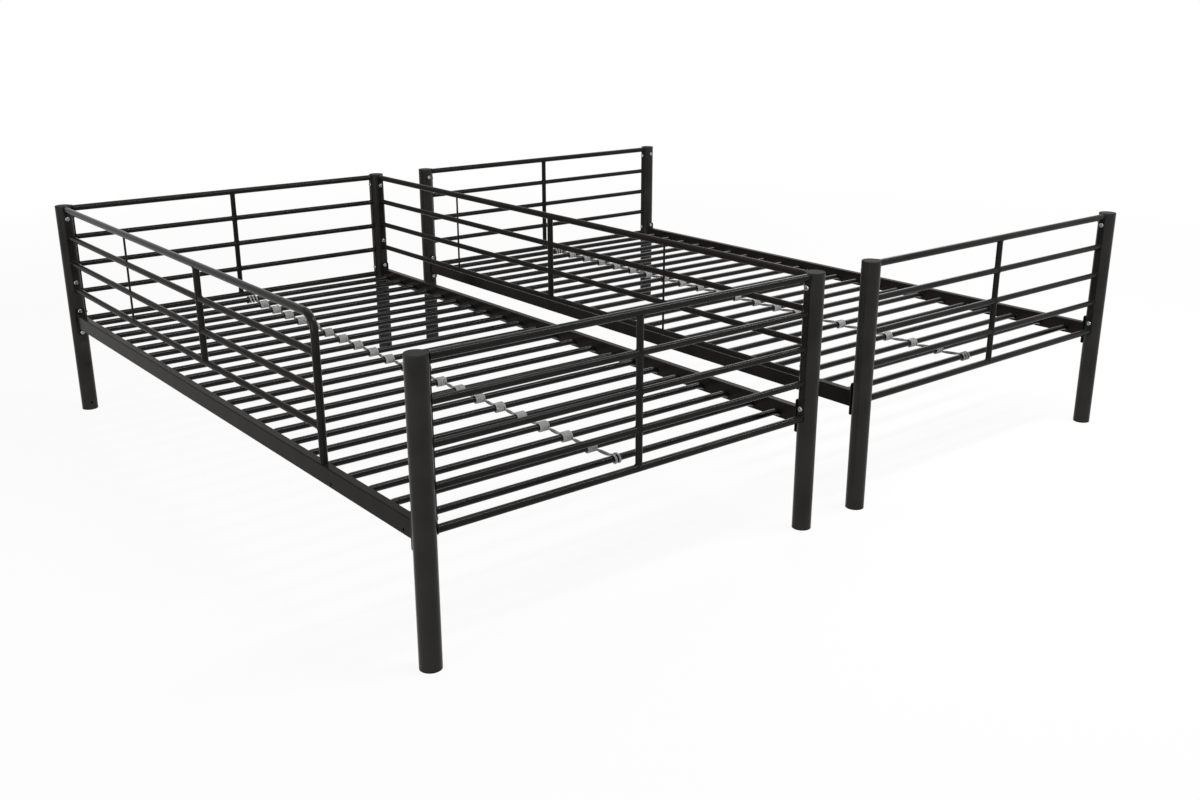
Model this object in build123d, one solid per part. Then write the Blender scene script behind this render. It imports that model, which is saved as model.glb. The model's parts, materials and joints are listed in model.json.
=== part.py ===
from build123d import *
import math
import os

# Steel bunk bed taken apart into its two beds, which stand side by side: millimetres, +Z up.
# The origin is on the floor in the middle of the pair. X runs across the beds, Y from foot to head.

# Plan of the pair, between post centres, and the height of the side rails' middle
bed_length = 1950.0
bed_width = 1016.0
bed_gap = 191.4
deck_height = 273.6

# Posts, their top caps and foot glides
post_radius = 22.5
post_wall = 1.2
post_top = 610.0
cap_thick = 2.7
cap_round = 0.8
glide_thick = 3.0
glide_round = 0.6
plug_length = 12.0
plug_wall = 2.0
plug_clearance = 0.15

# Welded end frames: thick rails at top and bottom, thinner bars between, and strips against the posts
frame_rail_radius = 8.5
frame_rail_wall = 1.2
top_rail_drop = 7.2
low_rail_rise = 1.4
bar_radius = 7.5
bar_wall = 1.0
bar_height_shares = (0.747, 0.501, 0.255)
strip_width = 14.0
strip_thick = 2.0
strip_corner = 2.0
frame_bolt_inset = 23.2
pilot_radius = 2.2
pilot_drop = 12.0

# Side rails and the plates welded across their ends
rail_width = 20.0
rail_depth = 40.0
rail_wall = 1.5
rail_corner = 2.5
plate_width = 28.0
plate_depth = 80.0
plate_thick = 3.0
plate_corner = 5.0
plate_bolt_margin = 8.0

# Slats, bent down at both ends to meet the side rails
slat_count = 22
slat_margin = 76.2
slat_radius = 7.6
slat_wall = 1.0
slat_below_rail = 0.6
slat_drop = 5.6
slat_slope_run = 19.0
slat_bend = 30.0

# Cord wound round every slat, close on most of them and open on the first and the last.
# Angles are in degrees about a slat, from its head side over its top.
cord_radius = 2.5
cord_clearance = 0.25
close_pitch = 5.6
close_half_turns = 8
open_pitch = 10.0
open_half_turns = 4
last_half_turns = {"upper": 3.25, "lower": 5.25}
arrival_angle = 68.0
leaving_share = 0.65
link_bend = 10.0
link_rise = 15.0
half_turn = 180.0
samples_per_arc = 10

# Guards of the upper bed
guard_rail_radius = 8.5
guard_rail_wall = 1.2
guard_upright_radius = 8.0
guard_saddle_share = 0.5
guard_low_bar_rise = 96.4
guard_bar_pitch = 77.0
guard_end = 385.0
guard_bend = 36.0
guard_rod_radius = 2.8
guard_rod_reach = 477.0
guard_bolt_drop = 26.0
guard_bolt_rise = 20.5
guard_plug_length = 20.0

# Bolts and the threaded inserts that they go into
bolt_radius = 3.0
bolt_hole_radius = 3.3
bolt_length = 16.0
bolt_head_radius = 6.0
bolt_head_height = 3.2
bolt_head_round = 1.7
socket_radius = 2.9
socket_depth = 2.2
thread_clearance = 0.05
insert_radius = 4.5
insert_length = 12.0
insert_clearance = 0.05

# Sleeves in the tops of the lower posts and their bolts, and the holes that match them in the upper feet
sleeve_wall = 1.5
sleeve_length = 90.0
sleeve_drop = 2.0
stack_bolt_drop = 24.0
stack_hole_height = 22.0

# Two holes in the front side rail of the upper bed, where a ladder screws on
ladder_post_gap = 58.0
ladder_guard_gap = 44.0
ladder_hole_drop = 9.6

overrun = 5.0

# Places worked out from the sizes above
half_length = bed_length / 2
half_width = bed_width / 2
post_bore = post_radius - post_wall
beds = {"upper": -(bed_width + bed_gap) / 2, "lower": (bed_width + bed_gap) / 2}
sides = {"left": -1, "right": 1}
ends = {"foot": -1, "head": 1}
top_rail_height = post_top - top_rail_drop
low_rail_height = deck_height + low_rail_rise
bar_heights = [low_rail_height + share * (top_rail_height - low_rail_height) for share in bar_height_shares]
frame_bolt_heights = (top_rail_height - frame_bolt_inset, low_rail_height + frame_bolt_inset)
strip_face = half_width - post_radius - strip_thick
plate_face = half_length - post_radius - plate_thick
plate_bolt_reach = plate_depth / 2 - plate_bolt_margin
rail_top = deck_height + rail_depth / 2
rail_bottom = deck_height - rail_depth / 2
slat_height = deck_height - slat_below_rail
slat_pitch = (bed_length - 2 * slat_margin) / (slat_count - 1)
slat_places = [slat_margin - half_length + slat_pitch * step for step in range(slat_count)]
cord_orbit = slat_radius + cord_radius + cord_clearance
guard_face = half_length - post_radius - strip_thick
guard_end_y = guard_end - half_length
guard_low_height = deck_height + guard_low_bar_rise
guard_middle_heights = (guard_low_height + guard_bar_pitch, guard_low_height + 2 * guard_bar_pitch)
guard_bolt_heights = (top_rail_height - guard_bolt_drop, guard_low_height + guard_bolt_rise)

os.makedirs("parts", exist_ok=True)
nodes = {}


def add(name, pieces):
    """Keep the pieces of one node, whatever solids they hold."""
    nodes[name] = [solid for piece in pieces for solid in piece.solids()]


def rod(start, stop, radius):
    """Solid round bar from one point to another."""
    run = Vector(*stop) - Vector(*start)
    return extrude(Plane(origin=start, z_dir=run) * Circle(radius), amount=run.length)


def tube(start, stop, radius, wall):
    """Round tube from one point to another, cut square at both ends."""
    run = Vector(*stop) - Vector(*start)
    ring = Circle(radius) - Circle(radius - wall)
    return extrude(Plane(origin=start, z_dir=run) * ring, amount=run.length)


def along(path, section):
    """Sweep a section that is drawn about the start of a path."""
    start = Plane(origin=path @ 0, z_dir=path % 0)
    return sweep(start * section, path=path)


# Fasteners, drawn about the face that the bolt head seats on, with +Z away from the post


def bolt(length):
    """Round-headed bolt with a hexagon socket."""
    head = extrude(Circle(bolt_head_radius), amount=bolt_head_height)
    head = fillet(head.edges().filter_by(GeomType.CIRCLE).sort_by(Axis.Z)[-1], bolt_head_round)
    socket = extrude(RegularPolygon(socket_radius, side_count=6), amount=socket_depth + overrun)
    head -= Pos(0, 0, bolt_head_height - socket_depth) * socket
    return head + extrude(Circle(bolt_radius), amount=-length)


def insert_nut():
    """Threaded insert, flush with the outer side of the post."""
    ring = Circle(insert_radius) - Circle(bolt_radius + thread_clearance)
    return extrude(ring, amount=-insert_length)


def on_post(post, way, height, cover):
    """Place on the outside of a post, over a cover of the given thickness, with +Z away from the post."""
    reach = post_radius + cover
    seat = (post[0] + way[0] * reach, post[1] + way[1] * reach, height)
    return Plane(origin=seat, z_dir=(way[0], way[1], 0)).location


def post_hole(post, way, height, radius):
    """Cutter for a hole through the wall of a post, on one side only."""
    cutter = extrude(Circle(radius), amount=overrun) + extrude(Circle(radius), amount=-post_radius)
    return on_post(post, way, height, 0) * cutter


def fixings(bed, side, end):
    """The bolts of one post: the way that each faces, its height, what it clamps and its node."""
    across = (-sides[side], 0)
    lengthwise = (0, -ends[end])
    found = [(across, height, strip_thick, "frame_bolts") for height in frame_bolt_heights]
    for reach in (plate_bolt_reach, -plate_bolt_reach):
        found.append((lengthwise, deck_height + reach, plate_thick, "rail_bolts"))
    if bed == "lower":
        found.append((lengthwise, post_top - stack_bolt_drop, 0, "stacking_bolts"))
    elif (side, end) != ("left", "foot"):
        found += [(lengthwise, height, strip_thick, "guard_bolts") for height in guard_bolt_heights]
    return found


# Posts


def plug(face_height, way, thick, edge_round):
    """Moulded cap or glide: a round flange on the end of a post, with a hollow stem inside it."""
    flange = extrude(Circle(post_radius), amount=thick)
    flange = fillet(flange.edges().filter_by(GeomType.CIRCLE).sort_by(Axis.Z)[-1], edge_round)
    stem_radius = post_bore - plug_clearance
    stem = extrude(Circle(stem_radius) - Circle(stem_radius - plug_wall), amount=-plug_length)
    return Plane(origin=(0, 0, face_height), z_dir=(0, 0, way)).location * (flange + stem)


def posts_of(bed, middle):
    """Four posts with their caps, glides, bolts, inserts and stacking sleeves."""
    caps, glides, inserts, sleeves = [], [], [], []
    bolts = {}
    sleeve_top = post_top - plug_length - sleeve_drop
    sleeve_bottom = sleeve_top - sleeve_length
    for end in ends:
        for side in sides:
            post = (middle + sides[side] * half_width, ends[end] * half_length)
            body = tube((*post, glide_thick), (*post, post_top), post_radius, post_wall)
            sleeve_line = ((*post, sleeve_bottom), (*post, sleeve_top))
            sleeve = tube(*sleeve_line, post_bore - plug_clearance, sleeve_wall)
            for way, height, cover, group in fixings(bed, side, end):
                hole = post_hole(post, way, height, insert_radius + insert_clearance)
                body -= hole
                sleeve -= hole
                bolts.setdefault(group, []).append(on_post(post, way, height, cover) * bolt(bolt_length))
                inserts.append(on_post(post, way, height, 0) * insert_nut())
            if bed == "upper":
                body -= post_hole(post, (0, -ends[end]), stack_hole_height, bolt_hole_radius)
            add(f"{bed}_{end}_{side}_post", [body])
            caps.append(Pos(*post, 0) * plug(post_top, 1, cap_thick, cap_round))
            glides.append(Pos(*post, 0) * plug(glide_thick, -1, glide_thick, glide_round))
            sleeves.append(sleeve)
    add(f"{bed}_post_caps", caps)
    add(f"{bed}_foot_glides", glides)
    add(f"{bed}_insert_nuts", inserts)
    for group, pieces in bolts.items():
        add(f"{bed}_{group}", pieces)
    if bed == "lower":
        add("lower_stacking_sleeves", sleeves)


# End frames


def strip(x, y, way, low, high, holes, pilots):
    """Flat strip standing against a post and facing the given way, with bolt holes and pilot holes."""
    face = Rectangle(strip_width, high - low)
    face = fillet(face.vertices(), strip_corner)
    middle = (high + low) / 2
    for height in holes:
        face -= Pos(0, height - middle) * Circle(bolt_hole_radius)
    for height in pilots:
        face -= Pos(0, height - middle) * Circle(pilot_radius)
    plane = Plane(origin=(x, y, middle), x_dir=(-way[1], way[0], 0), z_dir=(way[0], way[1], 0))
    return extrude(plane * face, amount=strip_thick)


def end_frame(bed, middle, end):
    """Welded frame between two posts, which returns its two strips."""
    y = ends[end] * half_length
    left = middle - strip_face
    right = middle + strip_face
    top = ((left, y, top_rail_height), (right, y, top_rail_height), frame_rail_radius)
    low = ((left, y, low_rail_height), (right, y, low_rail_height), frame_rail_radius)
    stem = ((middle, y, low_rail_height), (middle, y, top_rail_height), bar_radius)
    bars = []
    for height in bar_heights:
        for start, stop in ((left, middle), (middle, right)):
            bars.append(tube((start, y, height), (stop, y, height), bar_radius, bar_wall) - rod(*stem))
    add(f"{bed}_{end}_top_rail", [tube(*top, frame_rail_wall)])
    add(f"{bed}_{end}_low_rail", [tube(*low, frame_rail_wall)])
    add(f"{bed}_{end}_rails", bars)
    add(f"{bed}_{end}_upright", [tube(*stem, bar_wall) - rod(*top) - rod(*low)])
    pilots = [frame_bolt_heights[0] - pilot_drop] if bed == "lower" else []
    strip_bottom = low_rail_height - frame_rail_radius
    strip_top = top_rail_height + frame_rail_radius
    pieces = []
    for side in sides.values():
        x = middle + side * (half_width - post_radius)
        pieces.append(strip(x, y, (-side, 0), strip_bottom, strip_top, frame_bolt_heights, pilots))
    return pieces


# Side rails


def end_plate(x, y, way):
    """Plate across the end of a side rail, bolted to a post above and below the rail."""
    face = fillet(Rectangle(plate_width, plate_depth).vertices(), plate_corner)
    for reach in (plate_bolt_reach, -plate_bolt_reach):
        face -= Pos(0, reach) * Circle(bolt_hole_radius)
    plane = Plane(origin=(x, y, deck_height), x_dir=(1, 0, 0), z_dir=(0, way, 0))
    return extrude(plane * face, amount=plate_thick)


def side_rail(x):
    """Rectangular tube from one end plate to the other."""
    outer = RectangleRounded(rail_width, rail_depth, rail_corner)
    bore = RectangleRounded(rail_width - 2 * rail_wall, rail_depth - 2 * rail_wall, rail_corner - rail_wall)
    plane = Plane(origin=(x, -plate_face, deck_height), x_dir=(1, 0, 0), z_dir=(0, 1, 0))
    return extrude(plane * (outer - bore), amount=2 * plate_face)


def side_rails_of(bed, middle):
    """Two side rails and their four end plates."""
    plates = []
    for name, side in sides.items():
        x = middle + side * half_width
        rail = side_rail(x)
        if bed == "upper" and name == "left":
            bolt_line = ((x, guard_end_y, rail_bottom - overrun), (x, guard_end_y, rail_top + overrun))
            rail -= rod(*bolt_line, bolt_hole_radius)
            hole_height = deck_height - ladder_hole_drop
            for y in (ladder_post_gap - half_length, guard_end_y - ladder_guard_gap):
                rail -= rod((x, y, hole_height), (x - rail_width, y, hole_height), bolt_hole_radius)
        add(f"{bed}_{name}_side_rail", [rail])
        for end in ends.values():
            plates.append(end_plate(x, end * (half_length - post_radius), -end))
    add(f"{bed}_rail_end_plates", plates)


# Slats and their cord


def slat():
    """Tube across the bed at y of zero, straight in the middle and bent down to both side rails."""
    edge = half_width - rail_width / 2
    far = edge + overrun
    corner = edge - slat_slope_run
    far_height = slat_height - slat_drop * (far - corner) / slat_slope_run
    path = FilletPolyline(
        (-far, 0, far_height),
        (-corner, 0, slat_height),
        (corner, 0, slat_height),
        (far, 0, far_height),
        radius=slat_bend,
    )
    bent = along(path, Circle(slat_radius) - Circle(slat_radius - slat_wall))
    room = extrude(Rectangle(2 * edge, rail_depth), amount=post_top)
    return bent & room


def winding(middle, slat_y, first_turn, last_turn, pitch):
    """Points and directions of the cord round one slat, half a turn apart, moving to the right."""
    centre = (first_turn + last_turn) / 2
    climb = pitch / (2 * math.pi)
    places = []
    steps = int(last_turn - first_turn)
    turns = [first_turn + step for step in range(steps + 1)]
    for turn in dict.fromkeys((*turns, last_turn)):
        angle = math.radians(arrival_angle + half_turn * turn)
        round_y = math.cos(angle)
        round_z = math.sin(angle)
        x = middle + pitch * (turn - centre) / 2
        point = Vector(x, slat_y + cord_orbit * round_y, slat_height + cord_orbit * round_z)
        way = Vector(climb, -cord_orbit * round_z, cord_orbit * round_y)
        places.append((point, way.normalized()))
    return places


def link_start(leave, arrive):
    """Place where a link has bent away from one slat and sets out for the next."""
    point, way = leave
    rise = math.radians(link_rise)
    down = math.hypot(way.Y, way.Z)
    y = point.Y + link_bend * (way.Z / down - math.sin(rise))
    z = point.Z - link_bend * (way.Y / down + math.cos(rise))
    run = y - arrive[0].Y
    heading = Vector(arrive[0].X - point.X, -run, run * math.tan(rise))
    return Vector(point.X, y, z), heading.normalized()


def cord_places(bed, middle):
    """The whole route of a cord, from the slat at the head to the slat at the foot."""
    head_slat, *middle_slats, foot_slat = reversed(slat_places)
    open_last = open_half_turns + leaving_share
    close_last = close_half_turns + leaving_share
    windings = [winding(middle, head_slat, -1, open_last, open_pitch)]
    windings += [winding(middle, slat_y, 0, close_last, close_pitch) for slat_y in middle_slats]
    windings.append(winding(middle, foot_slat, 0, last_half_turns[bed], open_pitch))
    places = windings[0]
    for turns in windings[1:]:
        places += [link_start(places[-1], turns[0]), *turns]
    return places


def biarc(start, stop):
    """Two arcs from one point to another, each point being given with its direction."""
    span = stop[0] - start[0]
    lean = span.dot(start[1] + stop[1])
    spread = 2 * (1 - start[1].dot(stop[1]))
    reach = (math.sqrt(lean**2 + spread * span.dot(span)) - lean) / spread
    join = (start[0] + stop[0] + (start[1] - stop[1]) * reach) / 2
    first = Edge.make_tangent_arc(start[0], start[1], join)
    return [first, Edge.make_tangent_arc(join, first % 1, stop[0])]


def least_gap(arcs):
    """Least clear distance between one turn of the cord and the next three, measured on points."""
    points = [arc @ (step / samples_per_arc) for arc in arcs for step in range(samples_per_arc)]
    per_turn = 4 * samples_per_arc
    nearest = bed_length
    for index, point in enumerate(points):
        for other in points[index + per_turn // 2 : index + 3 * per_turn]:
            nearest = min(nearest, (other - point).length)
    return nearest - 2 * cord_radius


def cord(bed, middle):
    """One unbroken round cord, with a straight end one diameter long at each end."""
    places = cord_places(bed, middle)
    arcs = [arc for start, stop in zip(places, places[1:]) for arc in biarc(start, stop)]
    tail = 2 * cord_radius
    first = Edge.make_line(places[0][0] - places[0][1] * tail, places[0][0])
    last = Edge.make_line(places[-1][0], places[-1][0] + places[-1][1] * tail)
    path = Wire([first, *arcs, last])
    solid = along(path, Circle(cord_radius))
    filled = solid.volume / (math.pi * cord_radius**2 * path.length)
    print(f"{bed} cord: {path.length:.0f} mm long, volume over section times length {filled:.4f}")
    print(f"{bed} cord: least gap to itself {least_gap(arcs):.2f} mm")
    return solid


def deck_of(bed, middle):
    """Slats and the cord that is wound round them."""
    one = slat()
    add(f"{bed}_slats", [Pos(middle, y, 0) * one for y in slat_places])
    add(f"{bed}_slat_cord", [cord(bed, middle)])


# Guards of the upper bed


def guard_parts(name, x, start, stop, rods):
    """Bars, upright and thin rods of a guard that runs along the bed from start to stop."""
    low = ((x, start, guard_low_height), (x, stop, guard_low_height), bar_radius)
    top = ((x, start, top_rail_height), (x, stop, top_rail_height), guard_rail_radius)
    seat = guard_low_height + guard_saddle_share * bar_radius
    stem = ((x, 0, seat), (x, 0, top_rail_height), guard_upright_radius)
    leg = ((x, guard_end_y, rail_top), (x, guard_end_y, top_rail_height), guard_rail_radius)
    cutters = [rod(*stem)]
    thin = []
    for y in rods:
        line = ((x, y, guard_low_height), (x, y, top_rail_height))
        cutters.append(rod(*line, guard_rod_radius + insert_clearance))
        thin.append(rod(*line, guard_rod_radius) - rod(*top) - rod(*low))
    bars = [tube(*low, bar_wall)]
    for height in guard_middle_heights:
        bar = tube((x, start, height), (x, stop, height), bar_radius, bar_wall)
        for cutter in cutters:
            bar -= cutter
        bars.append(bar)
    if start == guard_end_y:
        bars = [bar - rod(*leg) for bar in bars]
    add(f"upper_{name}_guard_rails", bars)
    add(f"upper_{name}_guard_upright", [tube(*stem, guard_rail_wall) - rod(*top) - rod(*low)])
    add(f"upper_{name}_guard_rods", thin)
    return top


def front_guard(x):
    """Guard with a bent end that stands on the side rail and leaves a gap for a ladder."""
    guard_parts("front", x, guard_end_y, guard_face, [guard_rod_reach])
    path = FilletPolyline(
        (x, guard_face, top_rail_height),
        (x, guard_end_y, top_rail_height),
        (x, guard_end_y, rail_top),
        radius=guard_bend,
    )
    ring = Circle(guard_rail_radius) - Circle(guard_rail_radius - guard_rail_wall)
    add("upper_front_guard_top_tube", [along(path, ring)])
    plug_radius = guard_rail_radius - guard_rail_wall - plug_clearance
    plug_line = ((x, guard_end_y, rail_top), (x, guard_end_y, rail_top + guard_plug_length))
    bore_radius = bolt_radius + thread_clearance
    add("upper_guard_foot_plug", [tube(*plug_line, plug_radius, plug_radius - bore_radius)])
    under = Plane(origin=(x, guard_end_y, rail_bottom), z_dir=(0, 0, -1)).location
    add("upper_guard_foot_bolt", [under * bolt(rail_depth + bolt_length)])


def back_guard(x):
    """Guard along the whole of the other side, between two posts."""
    top = guard_parts("back", x, -guard_face, guard_face, [-guard_rod_reach, guard_rod_reach])
    add("upper_back_guard_top_rail", [tube(*top, guard_rail_wall)])


def guards_of(middle):
    """Both guards and the three strips that hold them to the posts."""
    front = middle - half_width
    back = middle + half_width
    front_guard(front)
    back_guard(back)
    low = guard_low_height - guard_rail_radius
    high = top_rail_height + guard_rail_radius
    strips = []
    for x, end in ((front, 1), (back, 1), (back, -1)):
        y = end * (half_length - post_radius)
        strips.append(strip(x, y, (0, -end), low, high, guard_bolt_heights, []))
    add("upper_guard_strips", strips)


for bed, middle in beds.items():
    posts_of(bed, middle)
    add(f"{bed}_frame_strips", end_frame(bed, middle, "foot") + end_frame(bed, middle, "head"))
    side_rails_of(bed, middle)
    deck_of(bed, middle)
guards_of(beds["upper"])

for name, solids in nodes.items():
    export_step(Compound(children=solids), f"parts/{name}.step")
print(len(nodes), "nodes")
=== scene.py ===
"""Dresses a steel bunk bed, taken apart into its two beds, and lights it in a studio. Metres, +Z up."""

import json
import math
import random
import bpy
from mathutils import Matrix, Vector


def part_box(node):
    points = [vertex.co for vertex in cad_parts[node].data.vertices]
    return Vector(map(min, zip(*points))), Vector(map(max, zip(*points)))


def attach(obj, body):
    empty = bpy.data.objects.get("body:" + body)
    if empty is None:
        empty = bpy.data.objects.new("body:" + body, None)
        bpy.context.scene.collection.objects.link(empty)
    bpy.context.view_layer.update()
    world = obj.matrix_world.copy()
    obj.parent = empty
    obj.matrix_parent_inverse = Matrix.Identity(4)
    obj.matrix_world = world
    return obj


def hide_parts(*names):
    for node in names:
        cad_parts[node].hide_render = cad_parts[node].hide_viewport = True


bl_info = {
    "name": "Metal Bunk Bed",
    "version": (1, 0, 0),
    "blender": (4, 5, 0),
    "location": "3D View > Sidebar > Bunk Bed",
    "description": "Finishes, wound cords, welds and studio for the two beds of a steel bunk bed",
    "category": "Object",
}

from collections import namedtuple

import bpy
from bpy.props import FloatProperty, FloatVectorProperty, PointerProperty
from mathutils import Vector

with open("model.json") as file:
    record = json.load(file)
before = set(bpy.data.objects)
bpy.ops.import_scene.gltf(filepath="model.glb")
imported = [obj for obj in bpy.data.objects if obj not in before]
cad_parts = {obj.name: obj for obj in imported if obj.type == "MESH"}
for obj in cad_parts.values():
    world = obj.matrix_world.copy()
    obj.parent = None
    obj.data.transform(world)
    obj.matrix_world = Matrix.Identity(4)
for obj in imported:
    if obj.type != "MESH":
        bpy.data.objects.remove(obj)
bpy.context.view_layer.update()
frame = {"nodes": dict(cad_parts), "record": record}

BEDS = ("upper", "lower")
ENDS = ("foot", "head")
SLAT_COUNT = 22
HALF_TURN = math.pi
FULL_TURN = 2 * math.pi
ACROSS = Vector((1, 0, 0))
ALONG = Vector((0, 1, 0))
UP = Vector((0, 0, 1))
WHITE = (1, 1, 1, 1)

# Words in the names of the CAD nodes that get their own copy of the coat, lighter or darker by painted
# light and shade
LIT_AND_SHADED_COATS = {
    "rails": ("side_rail", "guard_rails", "guard_top_rail"),
    "posts": ("left_post", "right_post"),
    "slats": ("slats",),
}

# Values between which a noise texture mostly lies, and how many finer layers each one has
NOISE_LOW = 0.3
NOISE_HIGH = 0.7
NOISE_LAYERS = {"patch": 3, "peel": 1, "grain": 3, "spark": 2, "fuzz": 4}

# How finely a cord is drawn, and the seed of its unevenness
CORD_SIDES = 12
SPLINE_ORDER = 3
SPLINE_STEPS = 4
TIP_STEPS = 5
DRIFT_SEED = 7

# How finely a weld bead is drawn
LEAST_BEAD_POINTS = 12
BEAD_ROUNDNESS = 2

# Softboxes, whose powers are settings
SOFTBOXES = {
    "top": {"place": (-0.3, 0.6, 3.6), "target": (0, 0, 0), "width": 3.4, "height": 2.6},
    "front": {"place": (1.1, -1.9, 2.85), "target": (1.1, 0, 0.27), "width": 3.0, "height": 0.32},
    "left": {"place": (-4.4, -1.8, 1.1), "target": (0, -0.6, 0.3), "width": 0.75, "height": 1.8},
    "right": {"place": (3.9, 1.9, 2.9), "target": (0.7, -0.2, 0.27), "width": 2.6, "height": 1.5},
}

# Camera, with its turns in degrees and its sensor in millimetres
CAMERA_PLACE = (-2.15295, -2.76392, 1.20510)
CAMERA_TURNS = (71.657, 0, -38.977)
SENSOR_WIDTH = 36

CordRow = namedtuple("CordRow", "point way flat half_width half_depth darkness")


def linear(hex_colour):
    """Linear red, green and blue of an sRGB hex colour."""
    values = [int(hex_colour[i : i + 2], 16) / 255 for i in (0, 2, 4)]
    return tuple(v / 12.92 if v <= 0.04045 else ((v + 0.055) / 1.055) ** 2.4 for v in values)


def colour(name, description, hex_colour):
    """Colour property whose default is an sRGB hex colour."""
    return FloatVectorProperty(
        name=name,
        description=description,
        subtype="COLOR",
        size=3,
        min=0,
        max=1,
        default=linear(hex_colour),
    )


def length(name, description, default):
    """Length property, in metres."""
    return FloatProperty(
        name=name, description=description, unit="LENGTH", precision=5, min=0, default=default
    )


def angle(name, description, degrees):
    """Angle property, from degrees."""
    return FloatProperty(name=name, description=description, subtype="ANGLE", default=math.radians(degrees))


def share(name, description, default):
    """Property from 0 to 1."""
    return FloatProperty(
        name=name, description=description, subtype="FACTOR", precision=3, min=0, max=1, default=default
    )


def number(name, description, default):
    """Plain number property, for counts and ratios."""
    return FloatProperty(name=name, description=description, min=0, default=default)


def watts(name, description, default):
    """Power property of a lamp."""
    return FloatProperty(name=name, description=description, unit="POWER", min=0, default=default)


class BedPaint(bpy.types.PropertyGroup):
    """Powder coat on all the steel tube and strip, in copies lighter or darker by painted light and shade.
    """

    frames_dark: colour("Frames Dark", "Thin coat on the end frames and small pieces", "161514")
    frames_light: colour("Frames Light", "Thick coat on the end frames and small pieces", "1e1d1c")
    frames_gloss: share("Frames Specular Level", "How much the end frames and small pieces reflect", 0.07)
    # The rails' colours are warmer and a little lighter than the frames' by a painted warm reflection
    rails_dark: colour("Rails Dark", "Coat on the side rails and guard bars, in a warmer light", "1b1816")
    rails_light: colour("Rails Light", "Lighter coat on the side rails and guard bars", "221f1d")
    rails_gloss: share("Rails Specular Level", "How much the side rails and guard bars reflect", 0.02)
    # The posts' colours are lighter than the frames' by painted light
    posts_dark: colour("Posts Dark", "Coat on the posts, thicker than on the thin tubes", "232221")
    posts_light: colour("Posts Light", "Lighter coat on the posts", "2b2a29")
    posts_gloss: share("Posts Specular Level", "How much the posts reflect", 0.07)
    # The slats' colours are darker than the frames' by painted shade
    slats_dark: colour("Slats Dark", "Coat on the slats, deep and even", "0f0e0e")
    slats_light: colour("Slats Light", "Lighter coat on the slats", "151414")
    slats_gloss: share("Slats Specular Level", "How much the slats reflect", 0.12)
    ior: number("Refractive Index", "Refractive index of the cured resin", 1.5)
    smooth: share("Least Roughness", "Roughness of the smoothest patches", 0.15)
    rough: share("Most Roughness", "Roughness of the dullest patches", 0.22)
    patch: length("Patch Size", "Distance over which the coat's shade changes", 0.07)
    peel: length("Orange Peel Size", "Distance between the ripples of the cured coat", 0.0018)
    peel_depth: length("Orange Peel Depth", "Depth of those ripples", 0.00004)


class BedMetal(bpy.types.PropertyGroup):
    """Plated bolts, inserts and sleeves."""

    bolt: colour("Bolt", "Bright zinc plate of the bolts and inserts", "b4b5b6")
    bolt_dull: colour("Bolt Dull", "Darker patches of the bright plate", "7a7b7d")
    bolt_smooth: share("Bolt Least Roughness", "Roughness of the brightest patches", 0.2)
    bolt_rough: share("Bolt Most Roughness", "Roughness of the dullest patches", 0.35)
    sleeve: colour("Sleeve", "Dull zinc plate of the sleeves", "8d8e8f")
    sleeve_dull: colour("Sleeve Dull", "Darker patches of the dull plate", "6f7071")
    sleeve_smooth: share("Sleeve Least Roughness", "Roughness of its brightest patches", 0.4)
    sleeve_rough: share("Sleeve Most Roughness", "Roughness of its dullest patches", 0.6)
    grain: length("Plate Grain", "Distance between patches of the plate", 0.0012)
    grain_depth: length("Plate Grain Depth", "Depth of the plate's texture", 0.00002)


class BedPlastic(bpy.types.PropertyGroup):
    """Moulded caps, glides and plug."""

    cap: colour("Cap", "Satin polypropylene of the post caps", "303030")
    cap_lift: number("Cap Lift", "How many times lighter the peaks of the grain are", 1.2)
    cap_gloss: share("Cap Specular Level", "How much the caps reflect", 0.003)
    cap_smooth: share("Cap Least Roughness", "Roughness of the caps in the hollows of the grain", 0.35)
    cap_rough: share("Cap Most Roughness", "Roughness of the caps on the peaks of the grain", 0.45)
    glide: colour("Glide", "Matt polyethylene of the glides and plug", "171717")
    glide_lift: number("Glide Lift", "How many times lighter the peaks of the grain are", 1.4)
    glide_gloss: share("Glide Specular Level", "How much the glides and the plug reflect", 0.1)
    glide_smooth: share("Glide Least Roughness", "Roughness of the glides in the hollows", 0.5)
    glide_rough: share("Glide Most Roughness", "Roughness of the glides on the peaks", 0.65)
    ior: number("Refractive Index", "Refractive index of both plastics", 1.49)
    spark: length("Spark Texture", "Grain that the mould leaves on the plastic", 0.0007)
    spark_depth: length("Spark Texture Depth", "Depth of that grain", 0.00002)


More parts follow.
